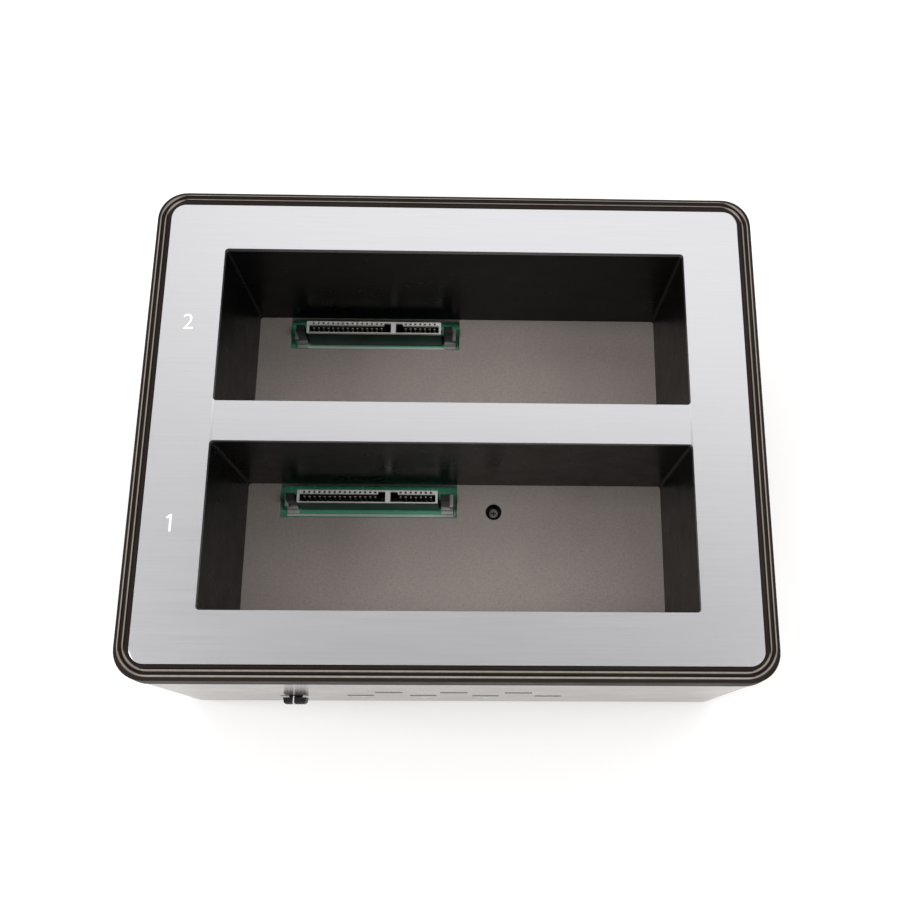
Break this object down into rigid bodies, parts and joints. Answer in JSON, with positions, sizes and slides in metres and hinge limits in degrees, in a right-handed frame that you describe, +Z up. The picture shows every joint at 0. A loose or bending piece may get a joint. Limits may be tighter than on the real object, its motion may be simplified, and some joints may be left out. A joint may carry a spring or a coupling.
{
  "type": "drive duplicator",
  "caption": "Desktop drive duplicator: a flared box with bays open at the top for bare drives, each with a drive receptacle on its floor, and a control panel in front.",
  "frame": {"origin": "middle of the footprint, on the surface that the rubber feet stand on", "axes": "+X to the right along the bays, +Y to the back, +Z up; the slider and the indicator windows face -Y"},
  "size_m": [0.1416, 0.1176, 0.0694],
  "materials": {
    "housing": "glossy warm brown-grey",
    "base": "fine texture",
    "trim": "glossy",
    "deck": "satin, brushed across",
    "well": "satin",
    "tray": "fine texture",
    "screw": "zinc plated",
    "foot": "matt",
    "connector": "satin",
    "rim": "satin",
    "contact": "gold plated",
    "tab": "tinned",
    "board": "solder mask",
    "chip": "moulded",
    "can": "satin",
    "lens": "clear, smoked",
    "lamp": "moulded",
    "slider": "ribbed",
    "switch": "satin"
  },
  "bodies": {
    "casing": {"upper_housing": "housing", "base_cover": "base", "trim_ring": "trim", "deck_plate": "deck", "front_well": "well", "rear_well": "well", "bay_tray": "tray", "chassis_screws": "screw", "casing_screws": "screw", "rubber_feet": "foot", "front_sata_body": "connector", "rear_sata_body": "connector", "front_sata_rim": "rim", "rear_sata_rim": "rim", "front_sata_contacts": "contact", "rear_sata_contacts": "contact", "front_hold_downs": "tab", "rear_hold_downs": "tab", "main_board": "board", "front_board": "board", "controller_chip": "chip", "controller_leads": "tab", "memory_chip": "chip", "crystal": "tab", "capacitors": "can", "coils": "chip", "board_header": "connector", "header_pins": "contact", "lower_light_pipe": "lens", "upper_light_pipe": "lens", "indicator_lamps": "lamp", "slide_switch": "tab", "power_jack": "connector", "power_jack_pin": "tab", "power_switch_frame": "switch", "power_switch_terminals": "tab"},
    "slider": {"mode_slider": "slider"},
    "rocker": {"power_rocker": "switch"}
  },
  "joints": [
    {"name": "slider_travel", "type": "slide", "parent": "casing", "child": "slider", "axis": [-1, 0, 0], "range_m": [0, 0.002]},
    {"name": "rocker_pivot", "type": "hinge", "parent": "casing", "child": "rocker", "pos_m": [-0.036, 0.0558, 0.0126], "axis": [0, 0, -1], "range_deg": [0, 16]}
  ]
}
